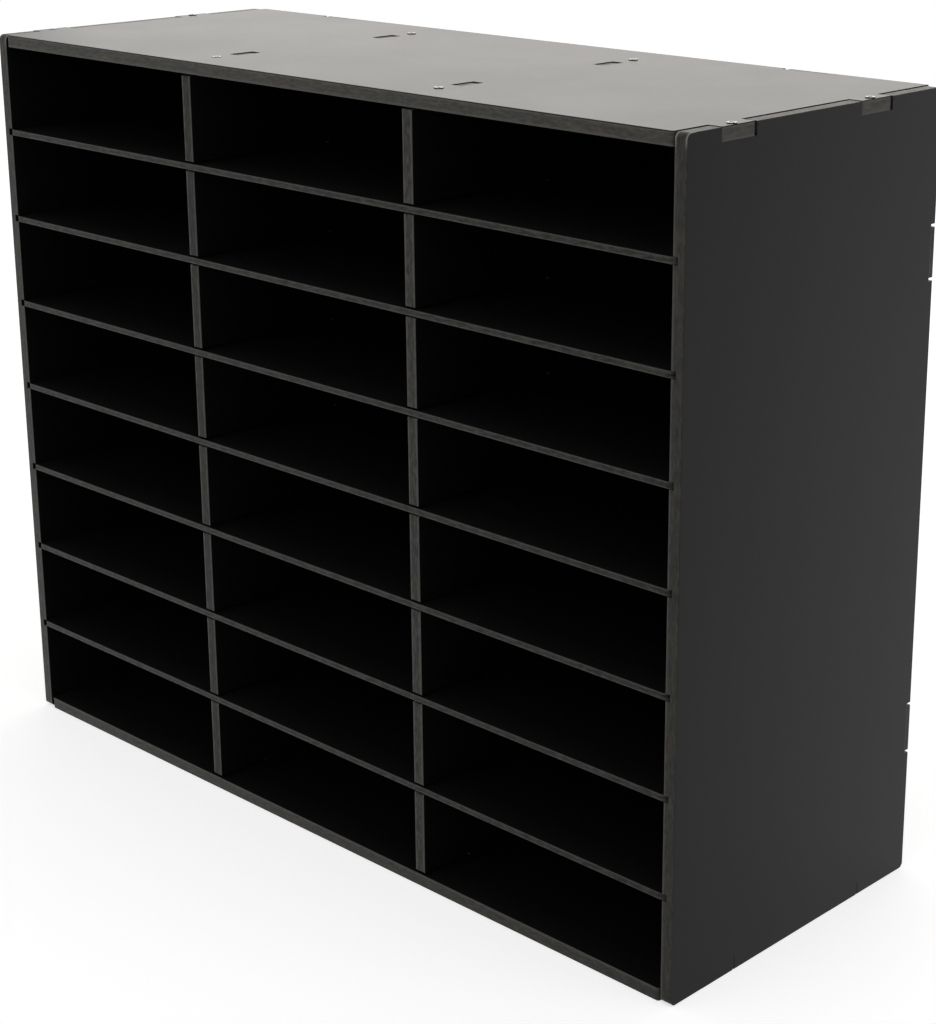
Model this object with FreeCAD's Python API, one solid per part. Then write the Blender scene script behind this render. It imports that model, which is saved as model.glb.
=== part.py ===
import FreeCAD, Part
import os

# Pigeonhole mail sorter: a knock-down cabinet of black-faced boards with three columns of eight
# slots. Tabs on the top, bottom and back panels lock into notches in their neighbours and are held
# by countersunk screws. The seven shelves slide in from the front and lap with the two dividers.
#
# Millimetres. X runs from left to right, Y from front to back and Z up. The origin is on the floor
# under the middle of the cabinet.

Vector = FreeCAD.Vector
X, Y, Z = Vector(1, 0, 0), Vector(0, 1, 0), Vector(0, 0, 1)

# Driving dimensions
WIDTH = 750.0
DEPTH = 280.0
HEIGHT = 610.0
BOARD = 10.0  # carcass panels and dividers
SHEET = 5.0  # shelves and back panel
COLUMNS = 3
ROWS = 8

# Easing of the boards' edges
EASE = 0.5  # long edges of the boards
SIDE_CORNER = 5.0  # corners of a side panel, seen from the side
PANEL_CORNER = 3.0  # front corners of the top and bottom panels, seen from above
SHELF_CORNER = 6.0  # front corners of a shelf, seen from above
SLOT_LIP = 1.2  # corners at the mouth of a divider's slots

# Fit of the boards to each other
END_GAP = 1.5  # each end of the top and bottom panels to the side panel
DIVIDER_TOP_GAP = 1.6  # upper end of a divider to the top panel
DIVIDER_BOTTOM_GAP = 2.2  # lower end of a divider to the bottom panel
BACK_GAP = 0.5  # each edge of the back panel to the carcass
TAB_GAP = 0.2  # seated side of a tab to its notch
TAB_INSET = 0.2  # end of a tab below the face that it comes through
DIVIDER_TAB_INSET = 0.7  # the same for a divider's tabs
SIDE_DROP = 0.4  # upper edge of a side panel below the top panel's upper face

# Tabs of the top and bottom panels in the edges of the side panels, measured from the front. The
# bottom panel's fill their notches.
END_TAB_STARTS = (34.0, 184.0)
END_NOTCH_LENGTH = 36.0
TOP_TAB_LENGTH = 33.0
BOTTOM_TAB_LENGTH = END_NOTCH_LENGTH - 2 * TAB_GAP
BOTTOM_TAB_CORNER = 2.5  # the lower rear corner of each
END_SCREW_FROM_TAB_START = 16.0

# Tabs of the dividers in the slots of the top and bottom panels, measured from the front
DIVIDER_TAB_STARTS = (48.0, 198.0)
DIVIDER_TAB_LENGTH = 20.0
DIVIDER_SLOT_LENGTH = 22.6
DIVIDER_SLOT_WIDTH = BOARD + 0.8

# Tabs of the back panel, measured from the middle of each edge
BACK_TAB_LENGTH = 37.0
BACK_NOTCH_LENGTH = 42.0
BACK_TAB_FROM_MIDDLE_X = 258.0
BACK_TAB_FROM_MIDDLE_Z = 186.0

# Shelves in the grooves of the side panels and in the slots of the dividers
GROOVE_DEPTH = 4.2
SHELF_LEFT_GAP = 0.3  # left end of a shelf to the bottom of its groove
SHELF_RIGHT_GAP = 1.9  # right end
GROOVE_BELOW = 0.1
GROOVE_ABOVE = 0.5
SLOT_BELOW = 1.0
SLOT_ABOVE = 1.4
LAP_GAP = 0.5  # closed end of a slot to the middle of the lap
SHELF_SLOT_WIDTH = BOARD + 1.0
SHELF_REAR_GAP = 0.5

# Screws, in two lengths
HEAD_RADIUS = 3.5
HEAD_RIM = 0.35
HEAD_DEPTH = 2.4
CORE_RADIUS = 1.4
CREST_RADIUS = 1.9
THREAD_PITCH = 2.0
TIP_LENGTH = 4.0
BOARD_SCREW_LENGTH = 30.0
SHEET_SCREW_LENGTH = 20.0
RECESS_TOP = 4.6
RECESS_BOTTOM = 1.6
RECESS_DEPTH = 1.7
RECESS_WIDTH = 1.3
FIRST_TURN = 20.0  # degrees of a cross's arm from X, and from each screw to the next
TURN_STEP = 25.0
HEAD_SINK = 0.15  # head below the board's face, where a screw is driven home
TOP_HEAD_RISES = (0.3, 0.7, 0.6, 0.7)  # heads above the top panel, where none is quite home
HOLE_CLEARANCE = 0.2  # radius of a hole over the screw's own
DIVIDER_SCREWS_FROM_FRONT = (31.0, 238.0)
BACK_DIVIDER_SCREW_HEIGHTS = (155.0, 455.0)

# Planes worked out from the above
RIGHT = WIDTH / 2
FRONT = -DEPTH / 2
REAR = DEPTH / 2
INNER_RIGHT = RIGHT - BOARD
BACK_FACE = REAR - SHEET
FLOOR_FACE = BOARD
CEILING_FACE = HEIGHT - BOARD
BAY_WIDTH = (WIDTH - (COLUMNS + 1) * BOARD) / COLUMNS
SLOT_HEIGHT = (CEILING_FACE - FLOOR_FACE - (ROWS - 1) * SHEET) / ROWS
DIVIDER_MIDDLES = [
    -INNER_RIGHT + column * (BAY_WIDTH + BOARD) - BOARD / 2 for column in range(1, COLUMNS)
]
SHELF_BOTTOMS = [
    CEILING_FACE - row * (SLOT_HEIGHT + SHEET) for row in range(1, ROWS)
]
LAP_MIDDLE = (FRONT + BACK_FACE) / 2
GROOVE_END = INNER_RIGHT + GROOVE_DEPTH
OVERCUT = 2.0  # how far a cutter runs past the face that it opens
NEAR = 1e-3  # places closer than this are one place


def block(low, high):
    """A box from its lowest to its highest corner."""
    low, high = Vector(*low), Vector(*high)
    size = high - low
    return Part.makeBox(size.x, size.y, size.z, low)


def anywhere(middle):
    """Every edge, wherever its middle is."""
    return True


def at_front(middle):
    """The edges in the cabinet's front plane."""
    return abs(middle.y - FRONT) < NEAR


def edges_along(solid, direction, wanted):
    """The straight edges of a solid that run along a direction and whose middle is wanted."""
    found = []
    for edge in solid.Edges:
        start, end = edge.Vertexes[0].Point, edge.Vertexes[-1].Point
        run = end - start
        if run.Length > NEAR and run.cross(direction).Length < NEAR and wanted((start + end) * 0.5):
            found.append(edge)
    return found


def rounded(solid, radius, direction, wanted=anywhere):
    """The solid with its wanted edges along one direction rounded."""
    return solid.makeFillet(radius, edges_along(solid, direction, wanted))


def mirrored_x(solid):
    """The solid's mirror image in the plane between left and right."""
    return solid.mirror(Vector(0, 0, 0), X)


def mirrored_z(solid):
    """The solid's mirror image in the plane half way up the cabinet."""
    return solid.mirror(Vector(0, 0, HEIGHT / 2), Z)


def screw_at(point, outward, length, rise, first_arm):
    """A countersunk cross-head screw whose head's face stands above point by rise."""
    bottom = -length
    profile = [(0, 0), (HEAD_RADIUS, 0), (HEAD_RADIUS, -HEAD_RIM), (CORE_RADIUS, -HEAD_DEPTH)]
    crest = -HEAD_DEPTH - THREAD_PITCH
    while crest > bottom + TIP_LENGTH:
        profile += [
            (CORE_RADIUS, crest + THREAD_PITCH / 4),
            (CREST_RADIUS, crest),
            (CORE_RADIUS, crest - THREAD_PITCH / 4),
        ]
        crest -= THREAD_PITCH
    profile += [(CORE_RADIUS, bottom + TIP_LENGTH), (0, bottom), (0, 0)]
    outline = Part.makePolygon([Vector(r, 0, z) for r, z in profile])
    screw = Part.Face(outline).revolve(Vector(0, 0, 0), Z, 360)
    for turn in (first_arm, first_arm + 90):
        wing = Part.makePolygon(
            [
                Vector(-RECESS_TOP / 2, 0, OVERCUT),
                Vector(RECESS_TOP / 2, 0, OVERCUT),
                Vector(RECESS_TOP / 2, 0, 0),
                Vector(RECESS_BOTTOM / 2, 0, -RECESS_DEPTH),
                Vector(-RECESS_BOTTOM / 2, 0, -RECESS_DEPTH),
                Vector(-RECESS_TOP / 2, 0, 0),
                Vector(-RECESS_TOP / 2, 0, OVERCUT),
            ]
        )
        cutter = Part.Face(wing).extrude(Y * RECESS_WIDTH)
        cutter.translate(-Y * RECESS_WIDTH / 2)
        cutter.rotate(Vector(0, 0, 0), Z, turn)
        screw = screw.cut(cutter)
    screw.Placement = FreeCAD.Placement(point + outward * rise, FreeCAD.Rotation(Z, outward))
    return screw


def screw_hole(point, outward, length):
    """The countersink, clearance hole and pilot hole that a screw needs, as a cutter."""
    head = HEAD_RADIUS + HOLE_CLEARANCE
    shank = CREST_RADIUS + HOLE_CLEARANCE
    seat = HEAD_SINK + HEAD_RIM + HOLE_CLEARANCE
    profile = [
        (0, OVERCUT),
        (head, OVERCUT),
        (head, -seat),
        (shank, -seat - (head - shank)),
        (shank, -length - HOLE_CLEARANCE),
        (0, -length - HOLE_CLEARANCE),
        (0, OVERCUT),
    ]
    outline = Part.makePolygon([Vector(r, 0, z) for r, z in profile])
    hole = Part.Face(outline).revolve(Vector(0, 0, 0), Z, 360)
    hole.Placement = FreeCAD.Placement(point, FreeCAD.Rotation(Z, outward))
    return hole


def top_end_screw_points():
    """Heads of the screws through the end tabs of the top panel."""
    return [
        Vector(side * (RIGHT - BOARD / 2), FRONT + start + END_SCREW_FROM_TAB_START, HEIGHT)
        for side in (-1, 1)
        for start in END_TAB_STARTS
    ]


def top_divider_screw_points():
    """Heads of the screws through the top panel into the dividers."""
    return [
        Vector(middle, FRONT + distance, HEIGHT)
        for middle in DIVIDER_MIDDLES
        for distance in DIVIDER_SCREWS_FROM_FRONT
    ]


def on_underside(points):
    """The same places on the underside of the cabinet."""
    return [Vector(point.x, point.y, HEIGHT - point.z) for point in points]


def back_tab_middles():
    """Middles of the back panel's tabs at the rear face, with the direction in which each points."""
    middles = []
    for side in (-1, 1):
        along_x = side * BACK_TAB_FROM_MIDDLE_X
        along_z = HEIGHT / 2 + side * BACK_TAB_FROM_MIDDLE_Z
        middles.append((Vector(along_x, REAR, CEILING_FACE + BOARD / 2), Z))
        middles.append((Vector(along_x, REAR, BOARD / 2), -Z))
        middles.append((Vector(INNER_RIGHT + BOARD / 2, REAR, along_z), X))
        middles.append((Vector(-INNER_RIGHT - BOARD / 2, REAR, along_z), -X))
    return middles


def back_divider_screw_points():
    """Heads of the screws through the back panel into the dividers."""
    return [
        Vector(middle, REAR, height)
        for middle in DIVIDER_MIDDLES
        for height in BACK_DIVIDER_SCREW_HEIGHTS
    ]


def back_tab_block(middle, outward, half_length, seated, outer, inner):
    """A block over one back tab's place: along the edge, then from inner to outer across the edge."""
    along = X if abs(outward.z) > 0 else Z
    low = middle - along * (half_length - seated) + outward * inner
    high = middle + along * (half_length + seated) + outward * outer
    corners = [[min(a, b), max(a, b)] for a, b in zip(low, high)]
    (x0, x1), _, (z0, z1) = corners
    return block((x0, BACK_FACE, z0), (x1, REAR, z1))


def back_notch(middle, outward):
    """The cutter for the notch that takes one tab of the back panel."""
    notch = back_tab_block(middle, outward, BACK_NOTCH_LENGTH / 2, 0, BOARD, -BOARD)
    rear = notch.copy()
    rear.translate(Y * OVERCUT)
    return notch.fuse(rear)


def screw_holes_for(points, outward, length):
    """The cutters for a row of alike screws."""
    return [screw_hole(point, outward, length) for point in points]


def back_edge_screw_points():
    """Heads of the screws through the back panel's tabs."""
    return [middle for middle, _ in back_tab_middles()]


def all_screw_holes():
    """The holes of every screw, each through all the boards that the screw joins."""
    tops = top_end_screw_points() + top_divider_screw_points()
    backs = back_edge_screw_points() + back_divider_screw_points()
    return (
        screw_holes_for(tops, Z, BOARD_SCREW_LENGTH)
        + screw_holes_for(on_underside(tops), -Z, BOARD_SCREW_LENGTH)
        + screw_holes_for(backs, Y, SHEET_SCREW_LENGTH)
    )


def cut_by_screws(solid):
    """The solid with the hole of each screw that reaches it."""
    reaching = [hole for hole in HOLES if hole.BoundBox.intersect(solid.BoundBox)]
    return solid.cut(reaching) if reaching else solid


def right_side_panel():
    """A side panel: notches for the tabs at its edges, grooves for the shelves on its inner face."""
    low, high = (INNER_RIGHT, FRONT, 0), (RIGHT, REAR, HEIGHT - SIDE_DROP)
    panel = rounded(block(low, high), SIDE_CORNER, X)
    panel = panel.common(rounded(block(low, high), EASE, Z))
    panel = panel.common(rounded(block(low, high), EASE, Y))
    cutters = []
    for start in END_TAB_STARTS:
        near, far = FRONT + start, FRONT + start + END_NOTCH_LENGTH
        cutters.append(
            block(
                (INNER_RIGHT - OVERCUT, near, CEILING_FACE),
                (RIGHT + OVERCUT, far, HEIGHT + OVERCUT),
            )
        )
        cutters.append(
            block(
                (INNER_RIGHT - OVERCUT, near, -OVERCUT),
                (RIGHT + OVERCUT, far, FLOOR_FACE),
            )
        )
    for bottom in SHELF_BOTTOMS:
        cutters.append(
            block(
                (INNER_RIGHT - OVERCUT, FRONT - OVERCUT, bottom - GROOVE_BELOW),
                (GROOVE_END, BACK_FACE, bottom + SHEET + GROOVE_ABOVE),
            )
        )
    cutters += [back_notch(middle, outward) for middle, outward in back_tab_middles() if outward.x > 0]
    return cut_by_screws(panel.cut(cutters))


def left_side_panel():
    """The left side panel is the mirror image of the right one."""
    return mirrored_x(right_side_panel())


def end_tab(side, start, length, corner):
    """One tab of the top panel at its left or right end. Its upper rear corner may be rounded."""
    near = FRONT + start + TAB_GAP
    far = near + length
    ends = sorted((side * (INNER_RIGHT - END_GAP - OVERCUT), side * (RIGHT - TAB_INSET)))
    tab = block((ends[0], near, CEILING_FACE), (ends[1], far, HEIGHT))
    if corner > 0:
        tab = rounded(tab, corner, X, lambda middle: middle.y > far - NEAR and middle.z > HEIGHT - NEAR)
    return tab


def end_panel(tab_length, tab_corner):
    """A panel as it lies at the top: its body, two tabs at each end and the dividers' slots."""
    half_body = INNER_RIGHT - END_GAP
    low, high = (-half_body, FRONT, CEILING_FACE), (half_body, REAR, HEIGHT)
    body = rounded(block(low, high), PANEL_CORNER, Z, at_front)
    body = body.common(rounded(block(low, high), EASE, X))
    tabs = [end_tab(side, start, tab_length, tab_corner) for side in (-1, 1) for start in END_TAB_STARTS]
    panel = body.fuse(tabs).removeSplitter()
    cutters = []
    for middle in DIVIDER_MIDDLES:
        for start in DIVIDER_TAB_STARTS:
            near = FRONT + start
            cutters.append(
                block(
                    (middle + BOARD / 2 + TAB_GAP - DIVIDER_SLOT_WIDTH, near, CEILING_FACE - OVERCUT),
                    (middle + BOARD / 2 + TAB_GAP, near + DIVIDER_SLOT_LENGTH, HEIGHT + OVERCUT),
                )
            )
    cutters += [back_notch(middle, outward) for middle, outward in back_tab_middles() if outward.z > 0]
    return cut_by_screws(panel.cut(cutters))


def top_panel():
    """The top panel, with play behind its tabs."""
    return end_panel(TOP_TAB_LENGTH, 0)


def bottom_panel():
    """The bottom panel: a top panel turned over, whose tabs fill their notches."""
    return mirrored_z(end_panel(BOTTOM_TAB_LENGTH, BOTTOM_TAB_CORNER))


def back_panel():
    """The thin back: flush with the rear edges, with two tabs on each edge."""
    half_width = INNER_RIGHT - BACK_GAP
    panel = block(
        (-half_width, BACK_FACE, FLOOR_FACE + BACK_GAP),
        (half_width, REAR, CEILING_FACE - BACK_GAP),
    )
    play = (BACK_NOTCH_LENGTH - BACK_TAB_LENGTH) / 2 - TAB_GAP
    reach = BOARD / 2 - TAB_INSET
    root = -BOARD / 2 - OVERCUT
    tabs = []
    for middle, outward in back_tab_middles():
        seated = play if abs(outward.z) > 0 else 0
        tabs.append(back_tab_block(middle, outward, BACK_TAB_LENGTH / 2, seated, reach, root))
    return cut_by_screws(panel.fuse(tabs).removeSplitter())


def divider(middle):
    """A divider: tabs up and down, and slots open at the front for the shelves."""
    left, right = middle - BOARD / 2, middle + BOARD / 2
    low, high = FLOOR_FACE + DIVIDER_BOTTOM_GAP, CEILING_FACE - DIVIDER_TOP_GAP
    plate = block((left, FRONT, low), (right, BACK_FACE, high))
    slots = [
        block(
            (left - OVERCUT, FRONT - OVERCUT, bottom - SLOT_BELOW),
            (right + OVERCUT, LAP_MIDDLE + LAP_GAP, bottom + SHEET + SLOT_ABOVE),
        )
        for bottom in SHELF_BOTTOMS
    ]
    plate = rounded(plate.cut(slots), SLOT_LIP, X, at_front)
    eased = rounded(block((left, FRONT, low), (right, BACK_FACE, high)), EASE, Z, at_front)
    plate = plate.common(eased)
    tabs = []
    for start in DIVIDER_TAB_STARTS:
        near = FRONT + start + TAB_GAP
        far = near + DIVIDER_TAB_LENGTH
        tabs.append(block((left, near, DIVIDER_TAB_INSET), (right, far, low + OVERCUT)))
        tabs.append(block((left, near, high - OVERCUT), (right, far, HEIGHT - DIVIDER_TAB_INSET)))
    return cut_by_screws(plate.fuse(tabs).removeSplitter())


def shelf(bottom):
    """A shelf: rounded front corners, and slots open at the rear that straddle the dividers."""
    rear = BACK_FACE - SHELF_REAR_GAP
    low = (SHELF_LEFT_GAP - GROOVE_END, FRONT, bottom)
    high = (GROOVE_END - SHELF_RIGHT_GAP, rear, bottom + SHEET)
    board = rounded(block(low, high), SHELF_CORNER, Z, at_front)
    board = board.common(rounded(block(low, high), EASE, X, at_front))
    slots = [
        block(
            (middle - SHELF_SLOT_WIDTH / 2, LAP_MIDDLE - LAP_GAP, bottom - OVERCUT),
            (middle + SHELF_SLOT_WIDTH / 2, rear + OVERCUT, bottom + SHEET + OVERCUT),
        )
        for middle in DIVIDER_MIDDLES
    ]
    return board.cut(slots)


def screws_at(points, outward, length, rises):
    """A group of alike screws, each a solid of its own, turned as far as it happened to go."""
    screws = []
    for index, (point, rise) in enumerate(zip(points, rises)):
        screws.append(screw_at(point, outward, length, rise, FIRST_TURN + index * TURN_STEP))
    return Part.makeCompound(screws)


def build():
    """Every node of the sorter by name."""
    ends, dividers = top_end_screw_points(), top_divider_screw_points()
    under_ends, under_dividers = on_underside(ends), on_underside(dividers)
    backs, back_dividers = back_edge_screw_points(), back_divider_screw_points()
    home = [-HEAD_SINK] * len(backs)
    nodes = {
        "left_side_panel": left_side_panel(),
        "right_side_panel": right_side_panel(),
        "top_panel": top_panel(),
        "bottom_panel": bottom_panel(),
        "back_panel": back_panel(),
        "left_divider": divider(DIVIDER_MIDDLES[0]),
        "right_divider": divider(DIVIDER_MIDDLES[1]),
        "top_end_screws": screws_at(ends, Z, BOARD_SCREW_LENGTH, TOP_HEAD_RISES),
        "top_divider_screws": screws_at(dividers, Z, BOARD_SCREW_LENGTH, TOP_HEAD_RISES),
        "bottom_end_screws": screws_at(under_ends, -Z, BOARD_SCREW_LENGTH, home),
        "bottom_divider_screws": screws_at(under_dividers, -Z, BOARD_SCREW_LENGTH, home),
        "back_edge_screws": screws_at(backs, Y, SHEET_SCREW_LENGTH, home),
        "back_divider_screws": screws_at(back_dividers, Y, SHEET_SCREW_LENGTH, home),
    }
    for number, bottom in enumerate(SHELF_BOTTOMS, 1):
        nodes[f"shelf_{number}"] = shelf(bottom)
    return nodes


HOLES = all_screw_holes()

os.makedirs("parts", exist_ok=True)
for name, shape in build().items():
    shape.exportStep(f"parts/{name}.step")
    bounds = shape.BoundBox
    print(
        f"{name}: {len(shape.Solids)} solid(s), valid {shape.isValid()}, {shape.Volume / 1000:.1f} cm3,"
        f" x {bounds.XMin:.1f} to {bounds.XMax:.1f}, y {bounds.YMin:.1f} to {bounds.YMax:.1f},"
        f" z {bounds.ZMin:.1f} to {bounds.ZMax:.1f}"
    )
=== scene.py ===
import math
from collections import namedtuple

import bpy
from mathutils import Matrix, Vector


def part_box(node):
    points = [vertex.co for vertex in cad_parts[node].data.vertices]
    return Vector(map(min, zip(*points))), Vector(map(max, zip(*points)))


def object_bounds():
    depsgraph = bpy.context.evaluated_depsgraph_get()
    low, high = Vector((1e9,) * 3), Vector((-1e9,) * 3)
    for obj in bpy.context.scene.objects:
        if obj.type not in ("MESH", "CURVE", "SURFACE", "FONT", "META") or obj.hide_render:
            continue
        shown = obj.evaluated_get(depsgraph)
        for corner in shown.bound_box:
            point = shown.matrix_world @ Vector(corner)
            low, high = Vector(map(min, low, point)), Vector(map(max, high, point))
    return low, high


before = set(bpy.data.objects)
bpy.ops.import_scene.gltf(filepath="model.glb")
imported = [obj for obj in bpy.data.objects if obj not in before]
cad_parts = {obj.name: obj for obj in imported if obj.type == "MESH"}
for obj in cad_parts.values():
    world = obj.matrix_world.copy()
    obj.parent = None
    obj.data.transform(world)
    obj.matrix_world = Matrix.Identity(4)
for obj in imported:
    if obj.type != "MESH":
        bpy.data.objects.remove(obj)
CAD_LOW, CAD_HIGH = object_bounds()

# The camera looks at the open front from its right and from above.
PICTURE_WIDTH, PICTURE_HEIGHT = 936, 1024
SENSOR = 36.0
FOCAL_LENGTH = 77.2
CAMERA_PLACE = Vector((1.2326, -1.1774, 0.8282))
CAMERA_AIM = Vector((0.2548, -0.1400, 0.4012))
CAMERA_CENTRE_X, CAMERA_CENTRE_Y = 545, 420  # pixel that the lens points at

# The axis that runs through each board's thickness; a shelf's is z.
BOARD_AXES = {
    "left_side_panel": "x",
    "right_side_panel": "x",
    "left_divider": "x",
    "right_divider": "x",
    "top_panel": "z",
    "bottom_panel": "z",
    "back_panel": "y",
}
AXIS_VECTORS = {"x": (1, 0, 0), "y": (0, 1, 0), "z": (0, 0, 1)}

# Colours, linear
LAMINATE_DARK = (0.0052, 0.0052, 0.0051, 1)
LAMINATE_LIGHT = (0.0070, 0.0069, 0.0067, 1)
EDGE_DARK = (0.010, 0.010, 0.009, 1)
EDGE_LIGHT = (0.054, 0.053, 0.048, 1)
EDGE_BROWN = (0.052, 0.043, 0.031, 1)
# a painted highlight for the rims along the cut edges' eased arrises
RIM_HIGHLIGHT = (0.060, 0.058, 0.054)
# a painted highlight for the rims at a side panel's upper front corner
CORNER_HIGHLIGHT_COLOR = (0.20, 0.19, 0.17, 1)
ZINC_DULL = (0.28, 0.28, 0.27, 1)
ZINC_BRIGHT = (0.56, 0.56, 0.55, 1)
# painted shade for the zinc off the flat head: in the recess and on the proud head's flank
ZINC_PAINTED_SHADE = (0.020, 0.020, 0.018, 1)
FLOOR_COLOR = (0.55, 0.55, 0.55, 1)
WHITE = (1, 1, 1, 1)
WARM_WHITE = (1.0, 0.945, 0.88, 1)

# The paint on a board's cut edges: how light it is, set board by board as painted light and shade for
# how light falls on it; how much of it is brown, how uneven it is, how light the painted highlights
# on its rims are on its left or lower side and on its right or upper side (0: no rim), and whether
# the laminate shows as a dark line along its upper side.
EdgeLook = namedtuple("EdgeLook", "tone brown contrast low_rim high_rim dark_line")
# The tones carry painted light and shade: alike dividers differ, and the top panel is lighter, for
# how light falls.
EDGE_LOOKS = {
    "top_panel": EdgeLook(1.62, 0.8, 0.35, 1.35, 1.55, True),
    "bottom_panel": EdgeLook(1.28, 0.5, 0.45, 0, 1.3, False),
    "left_side_panel": EdgeLook(1.2, 0.3, 0.6, 1.1, 1.1, False),
    "right_side_panel": EdgeLook(0.98, 0.7, 0.5, 1.2, 0, False),
    "left_divider": EdgeLook(0.54, 0.3, 0.9, 1.38, 1.12, False),
    "right_divider": EdgeLook(1.04, 0.35, 0.9, 1.38, 1.3, False),
}
OTHER_EDGE_LOOK = EdgeLook(0.78, 0.3, 0.9, 1.06, 1.0, False)  # the shelves' and the back's
FINISHED_ENDS = {"bottom_panel"}  # boards whose left and right ends are finished as their faces are

# The cosine of a surface's turn from its board's axis: below the first it is an edge, and above the
# second a face.
FACE_TURN = (0.93, 0.985)
HEAD_TURN = (0.90, 0.98)  # the same for a screw's flat head

# Scales of the noises: about how many features there are to a metre
FIBRE_SCALE = 600
SPOT_SCALE = 430
STREAK_SCALE = 240
RIM_WAVER_SCALE = 170
CLOUD_SCALE = 14
SMUDGE_SCALE = 9
PEBBLE_SCALE = 1500
ZINC_CLOUD_SCALE = 900
GRAIN_STRETCH = 0.25  # scale of the edges' grain along the board, against through its thickness

# The values of a noise at which what it drives reaches its low and its high end
NOISE_SPAN = (0.3, 0.7)
FIBRE_SPAN = (0.32, 0.68)
SPOT_SPAN = (0.36, 0.64)
STREAK_SPAN = (0.45, 0.75)

# The painted highlights along the cut edges, by how far they reach from the board's faces, in metres
RIM_LEAST_REACH = 0.0008
RIM_SHARE_OF_BOARD = 0.14  # a rim reaches further by this share of the board's thickness
RIM_WAVER = (-0.0006, 0.0006)
RIM_STRENGTH = 0.85
CORNER_HIGHLIGHT_REACH = (0.012, 0.004)  # from a side panel's upper front corner: where the painted highlight begins and is full
CORNER_HIGHLIGHT_FADE = (0.00176, 0.00066)  # where the painted highlight's line begins and is full
CORNER_HIGHLIGHT_STRENGTH = 0.9
DARK_LINE_FADE = (0.0006, 0.00102)  # where the laminate's dark line begins to fade and ends

LAMINATE_SPECULAR = 0.12  # level of the shader's specular socket
LAMINATE_ROUGHNESS = (0.33, 0.35)
EDGE_ROUGHNESS = (0.42, 0.52)
ZINC_ROUGHNESS = (0.30, 0.45)
RELIEF_STRENGTH = 0.25
RELIEF_HEIGHT = 0.00006

AMBIENT = 0.5  # the studio's even light
FLOOR_LIFT = 0.65  # what brings the floor up to white by the cabinet
FAR_FLOOR_LIFT = 0.73  # and far from it, past the lamps' reach
LAMPS_REACH = (0.8, 5.0)  # where, away from the cabinet, one gives way to the other
# What is mirrored of the floor: it is darker to the right and front than to the left and rear.
MIRRORED_LIFTS = (0.30, 1.0)
MIRRORED_SPAN = (-1.1, 0.1)  # where one gives way to the other, along the slanting line below
MIRRORED_SLANT = (-1.24, 1.0, 0.0)

FLOOR_DROP = 0.0004  # the floor lies just under the cabinet
FLOOR_HALF_SIZE = 30.0


def add_node(tree, kind, inputs=None, **settings):
    """A new node. An input is set to a value, or linked where it is another node's output."""
    made = tree.nodes.new(kind)
    for name, value in settings.items():
        setattr(made, name, value)
    for name, value in (inputs or {}).items():
        if isinstance(value, bpy.types.NodeSocket):
            tree.links.new(value, made.inputs[name])
        else:
            made.inputs[name].default_value = value
    return made


def calculate(tree, operation, first, second=0.0):
    """The result of a sum, product or other operation on two values."""
    inputs = {0: first, 1: second}
    return add_node(tree, "ShaderNodeMath", inputs, operation=operation).outputs[0]


def vector_math(tree, operation, first, second=(0, 0, 0), **inputs):
    """The node of an operation on two vectors."""
    inputs = {0: first, 1: second, **inputs}
    return add_node(tree, "ShaderNodeVectorMath", inputs, operation=operation)


def between(tree, value, low, high, to_low=0.0, to_high=1.0):
    """A value's way from low to high, eased and clamped, as a value from to_low to to_high."""
    inputs = {"Value": value, "From Min": low, "From Max": high, "To Min": to_low, "To Max": to_high}
    made = add_node(tree, "ShaderNodeMapRange", inputs, interpolation_type="SMOOTHSTEP", clamp=True)
    return made.outputs["Result"]


def mixed(tree, share, first, second):
    """A colour between two colours."""
    made = add_node(tree, "ShaderNodeMix", data_type="RGBA")
    for socket, value in ((made.inputs[0], share), (made.inputs[6], first), (made.inputs[7], second)):
        if isinstance(value, bpy.types.NodeSocket):
            tree.links.new(value, socket)
        else:
            socket.default_value = value
    return made.outputs[2]


def blended(tree, share, first, second):
    """A value between two values."""
    inputs = {0: share, 2: first, 3: second}
    return add_node(tree, "ShaderNodeMix", inputs, data_type="FLOAT").outputs[0]


def noise(tree, place, scale, detail=3.0, roughness=0.55):
    """Soft noise in space, with features of about 1 / scale metres."""
    inputs = {"Vector": place, "Scale": scale, "Detail": detail, "Roughness": roughness}
    return add_node(tree, "ShaderNodeTexNoise", inputs).outputs[0]


def new_material(name):
    """A material with one Principled shader: the material, its tree and the shader."""
    material = bpy.data.materials.new(name)
    material.use_nodes = True
    tree = material.node_tree
    tree.nodes.clear()
    shader = add_node(tree, "ShaderNodeBsdfPrincipled")
    add_node(tree, "ShaderNodeOutputMaterial", {"Surface": shader.outputs[0]})
    return material, tree, shader


def facing_along(tree, normal, axis):
    """1 where the surface faces along an axis, either way, and 0 where it faces across it."""
    dot = vector_math(tree, "DOT_PRODUCT", normal, AXIS_VECTORS[axis])
    return calculate(tree, "ABSOLUTE", dot.outputs["Value"])


def place_in_board(tree, place, node, axis):
    """How far a point lies from the middle plane of its board, and the board's thickness."""
    index = "xyz".index(axis)
    low, high = (corner[index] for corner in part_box(node))
    along = add_node(tree, "ShaderNodeSeparateXYZ", {0: place}).outputs[index]
    return calculate(tree, "SUBTRACT", along, (low + high) / 2), high - low


def depth_below(tree, off_middle, thickness, side):
    """How far a point lies below the face on one side of its board: -1 is the low one, 1 the high."""
    return calculate(tree, "SUBTRACT", thickness / 2, calculate(tree, "MULTIPLY", off_middle, side))


def painted_corner_highlight(tree, place, node):
    """How strongly a side panel's rims take a painted highlight: fully at its upper front corner,
    none away.
    """
    low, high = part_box(node)
    side_view = vector_math(tree, "MULTIPLY", place, (0, 1, 1)).outputs[0]
    distance = vector_math(tree, "DISTANCE", side_view, (0, low.y, high.z)).outputs["Value"]
    return between(tree, distance, *CORNER_HIGHLIGHT_REACH, 0.0, CORNER_HIGHLIGHT_STRENGTH)


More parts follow.
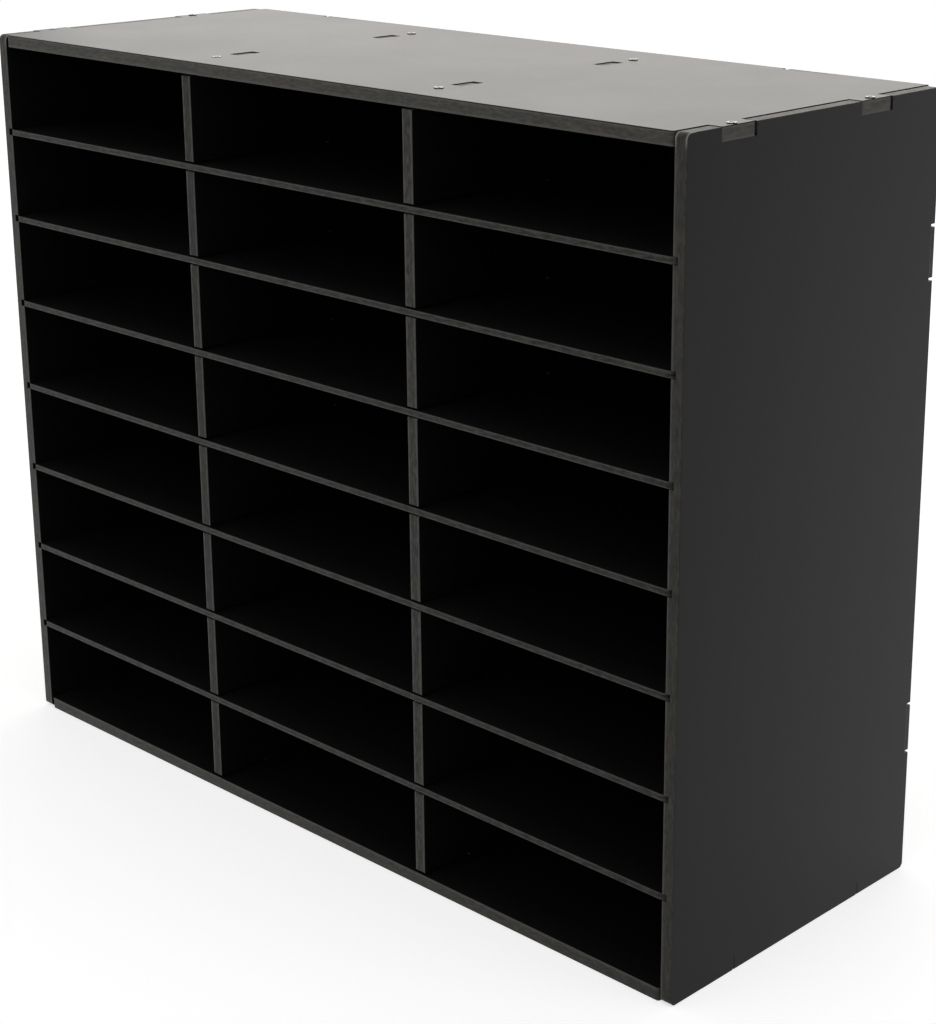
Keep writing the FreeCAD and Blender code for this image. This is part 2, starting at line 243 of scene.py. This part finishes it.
def grain_color(tree, place, look, axis):
    """A cut edge away from its rims, mottled by fibres, streaks and spots, and the fibres' noise."""
    stretch = [1.0 if name_of_axis == axis else GRAIN_STRETCH for name_of_axis in "xyz"]
    layered = vector_math(tree, "MULTIPLY", place, stretch).outputs[0]
    spread = look.contrast / 2
    fibres = noise(tree, layered, FIBRE_SCALE, detail=4, roughness=0.65)
    streaks = noise(tree, layered, STREAK_SCALE, roughness=0.6)
    spots = noise(tree, layered, SPOT_SCALE)

    fibre_share = between(tree, fibres, *FIBRE_SPAN, 0.5 - spread, 0.5 + spread)
    color = mixed(tree, fibre_share, EDGE_DARK, EDGE_LIGHT)
    color = mixed(tree, between(tree, streaks, *STREAK_SPAN, 0.0, look.brown), color, EDGE_BROWN)
    lightness = between(tree, spots, *SPOT_SPAN, 1 - spread, 1 + spread)
    # The board's tone, which carries painted light and shade board by board.
    tone = calculate(tree, "MULTIPLY", lightness, look.tone)
    return vector_math(tree, "SCALE", color, Scale=tone).outputs[0], fibres


def edge_color(tree, place, node, axis):
    """A board's cut edges: grain, painted highlights on rims and corners, and the laminate's line."""
    look = EDGE_LOOKS.get(node, OTHER_EDGE_LOOK)
    color, fibres = grain_color(tree, place, look, axis)

    off_middle, thickness = place_in_board(tree, place, node, axis)
    waver = between(tree, noise(tree, place, RIM_WAVER_SCALE), *NOISE_SPAN, *RIM_WAVER)
    reach = RIM_LEAST_REACH + RIM_SHARE_OF_BOARD * thickness
    # Painted highlights along the eased arrises: lighter rims by each face.
    for side, rim_highlight_tone in ((-1, look.low_rim), (1, look.high_rim)):
        if rim_highlight_tone:
            depth = calculate(tree, "ADD", depth_below(tree, off_middle, thickness, side), waver)
            share = between(tree, depth, reach, reach / 2, 0.0, RIM_STRENGTH)
            rim_highlight = tuple(rim_highlight_tone * part for part in RIM_HIGHLIGHT) + (1,)
            color = mixed(tree, share, color, rim_highlight)
    # A painted highlight on both rims near a side panel's upper front corner, where the eased arris
    # catches light.
    if node.endswith("side_panel"):
        highlight_share = painted_corner_highlight(tree, place, node)
        for side in (-1, 1):
            depth = depth_below(tree, off_middle, thickness, side)
            color = mixed(tree, between(tree, depth, *CORNER_HIGHLIGHT_FADE, 0.0, highlight_share), color, CORNER_HIGHLIGHT_COLOR)
    if look.dark_line:
        depth = depth_below(tree, off_middle, thickness, 1)
        line = between(tree, depth, *DARK_LINE_FADE, 1.0, 0.0)
        color = mixed(tree, line, color, LAMINATE_DARK)
    return color, fibres


def board_material(node, axis):
    """Black laminate on a fibreboard's faces, and painted fibres on its edges."""
    material, tree, shader = new_material(f"{node}_board")
    coordinates = add_node(tree, "ShaderNodeTexCoord")
    place, normal = coordinates.outputs["Object"], coordinates.outputs["Normal"]
    is_face = between(tree, facing_along(tree, normal, axis), *FACE_TURN)
    if node in FINISHED_ENDS:
        is_end = between(tree, facing_along(tree, normal, "x"), *FACE_TURN)
        is_face = calculate(tree, "MAXIMUM", is_face, is_end)
    edge, fibres = edge_color(tree, place, node, axis)

    # The laminate: faint clouds in its tone, smudges in its gloss and a fine pebble.
    clouds = noise(tree, place, CLOUD_SCALE, detail=4)
    laminate = mixed(tree, clouds, LAMINATE_DARK, LAMINATE_LIGHT)
    smudges = noise(tree, place, SMUDGE_SCALE, detail=5, roughness=0.6)
    laminate_roughness = between(tree, smudges, *NOISE_SPAN, *LAMINATE_ROUGHNESS)
    pebble = noise(tree, place, PEBBLE_SCALE, detail=2)

    edge_roughness = between(tree, fibres, *NOISE_SPAN, *EDGE_ROUGHNESS)
    tree.links.new(mixed(tree, is_face, edge, laminate), shader.inputs["Base Color"])
    roughness = blended(tree, is_face, edge_roughness, laminate_roughness)
    tree.links.new(roughness, shader.inputs["Roughness"])
    relief = blended(tree, is_face, fibres, pebble)
    inputs = {"Height": relief, "Strength": RELIEF_STRENGTH, "Distance": RELIEF_HEIGHT}
    bump = add_node(tree, "ShaderNodeBump", inputs)
    tree.links.new(bump.outputs[0], shader.inputs["Normal"])
    shader.inputs["Specular IOR Level"].default_value = LAMINATE_SPECULAR
    return material


def screw_material(axis):
    """Bright zinc plate on a screw's flat head, and painted shade in its recess, on its flank and on
    its thread.
    """
    material, tree, shader = new_material(f"zinc_{axis}")
    coordinates = add_node(tree, "ShaderNodeTexCoord")
    place, normal = coordinates.outputs["Object"], coordinates.outputs["Normal"]
    clouds = noise(tree, place, ZINC_CLOUD_SCALE)
    plate = mixed(tree, clouds, ZINC_DULL, ZINC_BRIGHT)
    on_head = between(tree, facing_along(tree, normal, axis), *HEAD_TURN)
    # Off the flat head the zinc takes painted shade, in the recess and on the flank.
    tree.links.new(mixed(tree, on_head, ZINC_PAINTED_SHADE, plate), shader.inputs["Base Color"])
    tree.links.new(between(tree, clouds, *NOISE_SPAN, *ZINC_ROUGHNESS), shader.inputs["Roughness"])
    shader.inputs["Metallic"].default_value = 1.0
    return material


def dress(node, material):
    """Gives a CAD node its material."""
    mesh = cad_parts[node].data
    mesh.materials.clear()
    mesh.materials.append(material)
    for polygon in mesh.polygons:
        polygon.material_index = 0


def dress_all():
    """Every board in a material of its own, and the screws by the way that they point."""
    zinc = {axis: screw_material(axis) for axis in "yz"}
    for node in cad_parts:
        if node.endswith("_screws"):
            dress(node, zinc["y" if node.startswith("back_") else "z"])
        else:
            dress(node, board_material(node, BOARD_AXES.get(node, "z")))


def seen_and_mirrored(tree):
    """Two values: 1 for rays from the camera, and 1 for reflected or refracted ones."""
    path = add_node(tree, "ShaderNodeLightPath").outputs
    mirrored = calculate(tree, "MAXIMUM", path["Is Glossy Ray"], path["Is Transmission Ray"])
    return path["Is Camera Ray"], mirrored


def floor_material():
    """Pale and dull, lifted to white for the camera, and lifted by place for what mirrors it."""
    material = bpy.data.materials.new("floor")
    material.use_nodes = True
    tree = material.node_tree
    tree.nodes.clear()
    place = add_node(tree, "ShaderNodeTexCoord").outputs["Object"]
    distance = vector_math(tree, "LENGTH", place).outputs["Value"]
    seen_lift = between(tree, distance, *LAMPS_REACH, FLOOR_LIFT, FAR_FLOOR_LIFT)
    across = vector_math(tree, "DOT_PRODUCT", place, MIRRORED_SLANT).outputs["Value"]
    mirrored_lift = between(tree, across, *MIRRORED_SPAN, *MIRRORED_LIFTS)
    seen, mirrored = seen_and_mirrored(tree)
    strength = calculate(
        tree,
        "ADD",
        calculate(tree, "MULTIPLY", seen, seen_lift),
        calculate(tree, "MULTIPLY", mirrored, mirrored_lift),
    )
    glow = add_node(tree, "ShaderNodeEmission", {"Color": WHITE, "Strength": strength})
    diffuse = add_node(tree, "ShaderNodeBsdfDiffuse", {"Color": FLOOR_COLOR})
    both = add_node(tree, "ShaderNodeAddShader", {0: diffuse.outputs[0], 1: glow.outputs[0]})
    add_node(tree, "ShaderNodeOutputMaterial", {"Surface": both.outputs[0]})
    return material


def make_floor():
    """A plain floor that looks white to the camera and keeps the cabinet's shadow."""
    half = FLOOR_HALF_SIZE
    corners = [(-half, -half, 0), (half, -half, 0), (half, half, 0), (-half, half, 0)]
    mesh = bpy.data.meshes.new("floor")
    mesh.from_pydata(corners, [], [(0, 1, 2, 3)])
    mesh.materials.append(floor_material())
    floor = bpy.data.objects.new("floor", mesh)
    floor.location.z = CAD_LOW.z - FLOOR_DROP
    bpy.context.scene.collection.objects.link(floor)


def make_world():
    """White all round for the camera and for reflections, and a softer white for the light."""
    world = bpy.data.worlds.new("studio")
    bpy.context.scene.world = world
    world.use_nodes = True
    tree = world.node_tree
    tree.nodes.clear()
    white = calculate(tree, "MAXIMUM", *seen_and_mirrored(tree))
    strength = between(tree, white, 0, 1, AMBIENT, 1.0)
    background = add_node(tree, "ShaderNodeBackground", {"Color": WHITE, "Strength": strength})
    add_node(tree, "ShaderNodeOutputWorld", {"Surface": background.outputs[0]})


def softbox(name, place, width, height, radiance, color=WHITE):
    """A large soft lamp with a given brightness of its face, turned to the cabinet's middle."""
    light = bpy.data.lights.new(name, "AREA")
    light.shape = "RECTANGLE"
    light.size, light.size_y = width, height
    light.color = color[:3]
    light.energy = radiance * math.pi * width * height
    lamp = bpy.data.objects.new(name, light)
    lamp.location = place
    middle = (CAD_LOW + CAD_HIGH) / 2
    lamp.rotation_euler = (middle - Vector(place)).to_track_quat("-Z", "Y").to_euler()
    bpy.context.scene.collection.objects.link(lamp)


def make_lamps():
    """Wide soft lamps behind the cabinet and over it, and lower ones before it and at its side."""
    softbox("rear_lamp", (-1.9, 3.0, 1.9), width=4.0, height=2.2, radiance=1.3, color=WARM_WHITE)
    softbox("top_lamp", (0.2, -0.2, 3.2), width=2.4, height=2.4, radiance=1.2)
    softbox("front_lamp", (-0.1, -3.0, 0.9), width=2.2, height=1.2, radiance=1.3)
    softbox("side_lamp", (2.8, 0.6, 1.3), width=1.6, height=1.4, radiance=1.3)


def make_camera():
    """The camera, with its lens aimed by direction and its frame moved by the shift."""
    data = bpy.data.cameras.new("camera")
    data.sensor_fit = "AUTO"
    data.sensor_width = SENSOR
    data.lens = FOCAL_LENGTH
    long_side = max(PICTURE_WIDTH, PICTURE_HEIGHT)
    data.shift_x = (PICTURE_WIDTH / 2 - CAMERA_CENTRE_X) / long_side
    data.shift_y = (CAMERA_CENTRE_Y - PICTURE_HEIGHT / 2) / long_side
    camera = bpy.data.objects.new("camera", data)
    camera.location = CAMERA_PLACE
    camera.rotation_euler = (CAMERA_AIM - CAMERA_PLACE).to_track_quat("-Z", "Y").to_euler()
    bpy.context.scene.collection.objects.link(camera)
    bpy.context.scene.camera = camera


bpy.context.scene.view_settings.view_transform = "Standard"
make_camera()
make_world()
make_lamps()
make_floor()
dress_all()
